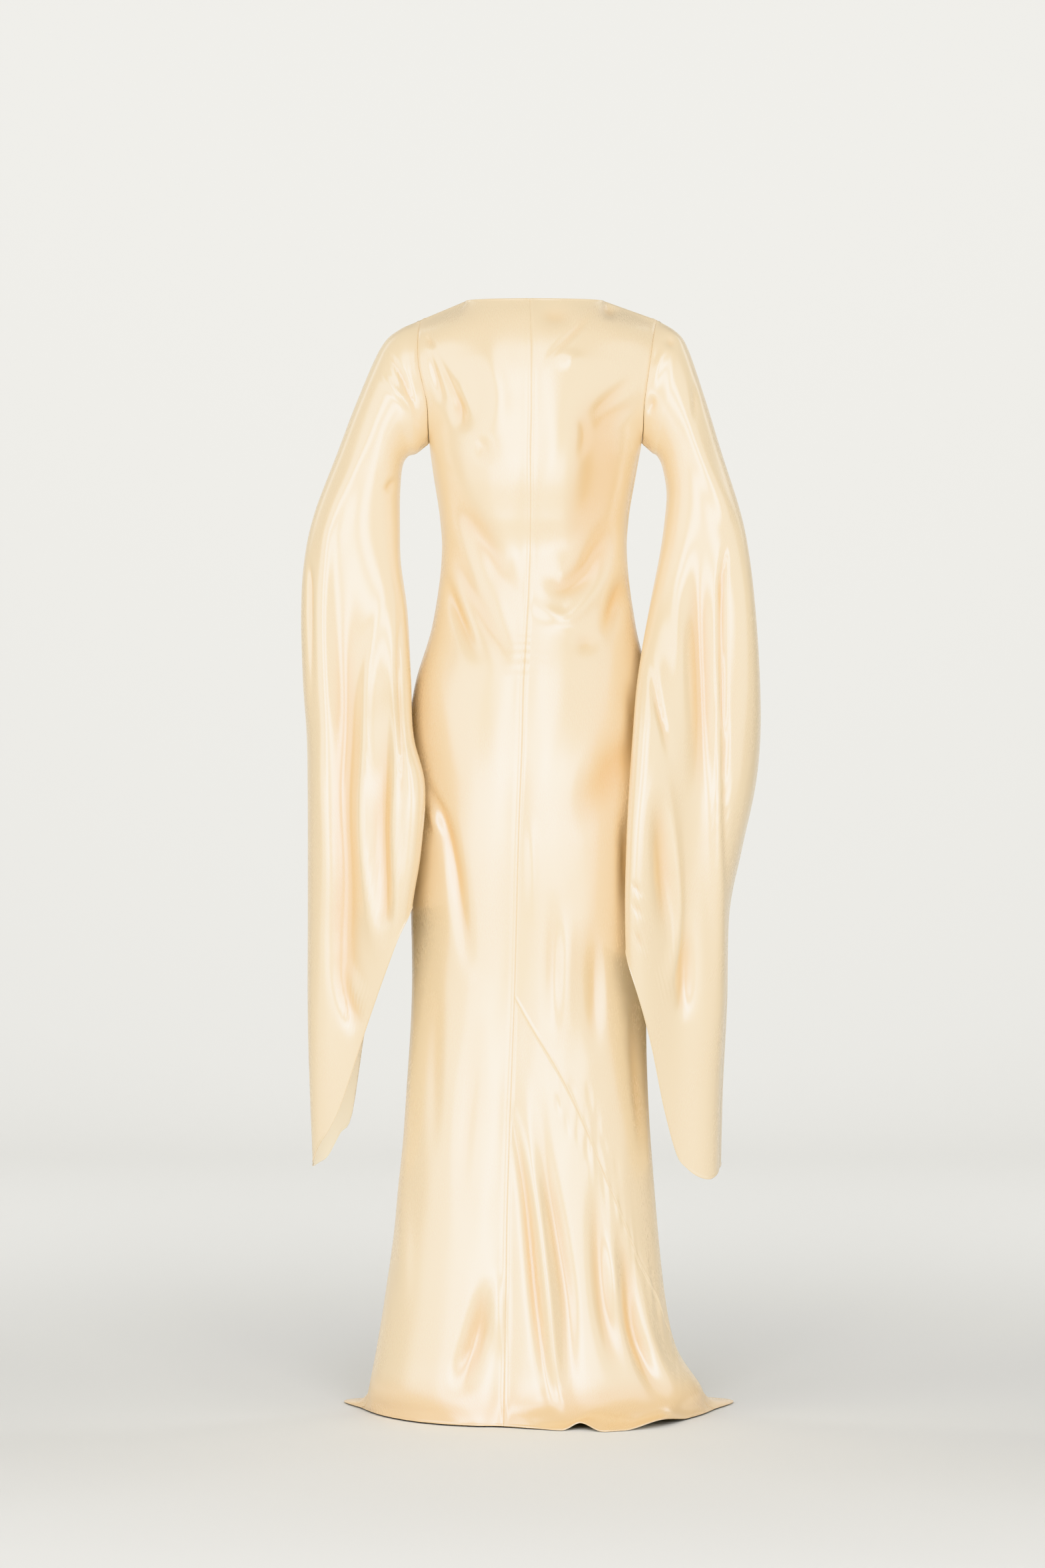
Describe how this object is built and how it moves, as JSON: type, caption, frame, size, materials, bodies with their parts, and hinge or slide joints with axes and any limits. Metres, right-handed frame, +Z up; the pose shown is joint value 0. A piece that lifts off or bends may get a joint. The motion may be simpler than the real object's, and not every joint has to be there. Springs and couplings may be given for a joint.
{
  "type": "silk gown",
  "caption": "Floor-length bias-cut silk satin gown with a boat neck and long open angel sleeves, hollow and standing as worn, its hem lying out on the floor.",
  "frame": {"origin": "at shoulder height above the middle of the body, in the neck opening, where the wearer's shoulders hold the gown up", "axes": "+Z up, +Y the way the wearer faces, +X the wearer's right; the hem rests on the plane z = -1.530"},
  "size_m": [0.6368, 0.3467, 1.5424],
  "materials": {
    "front": "ivory silk satin",
    "back_left": "ivory silk satin",
    "back_right": "ivory silk satin",
    "back_lower": "ivory silk satin",
    "sleeve_left": "ivory silk satin",
    "sleeve_right": "ivory silk satin"
  },
  "bodies": {
    "root": {"front": "front", "back_left": "back_left", "back_right": "back_right", "back_lower": "back_lower", "sleeve_left": "sleeve_left", "sleeve_right": "sleeve_right"}
  },
  "joints": []
}
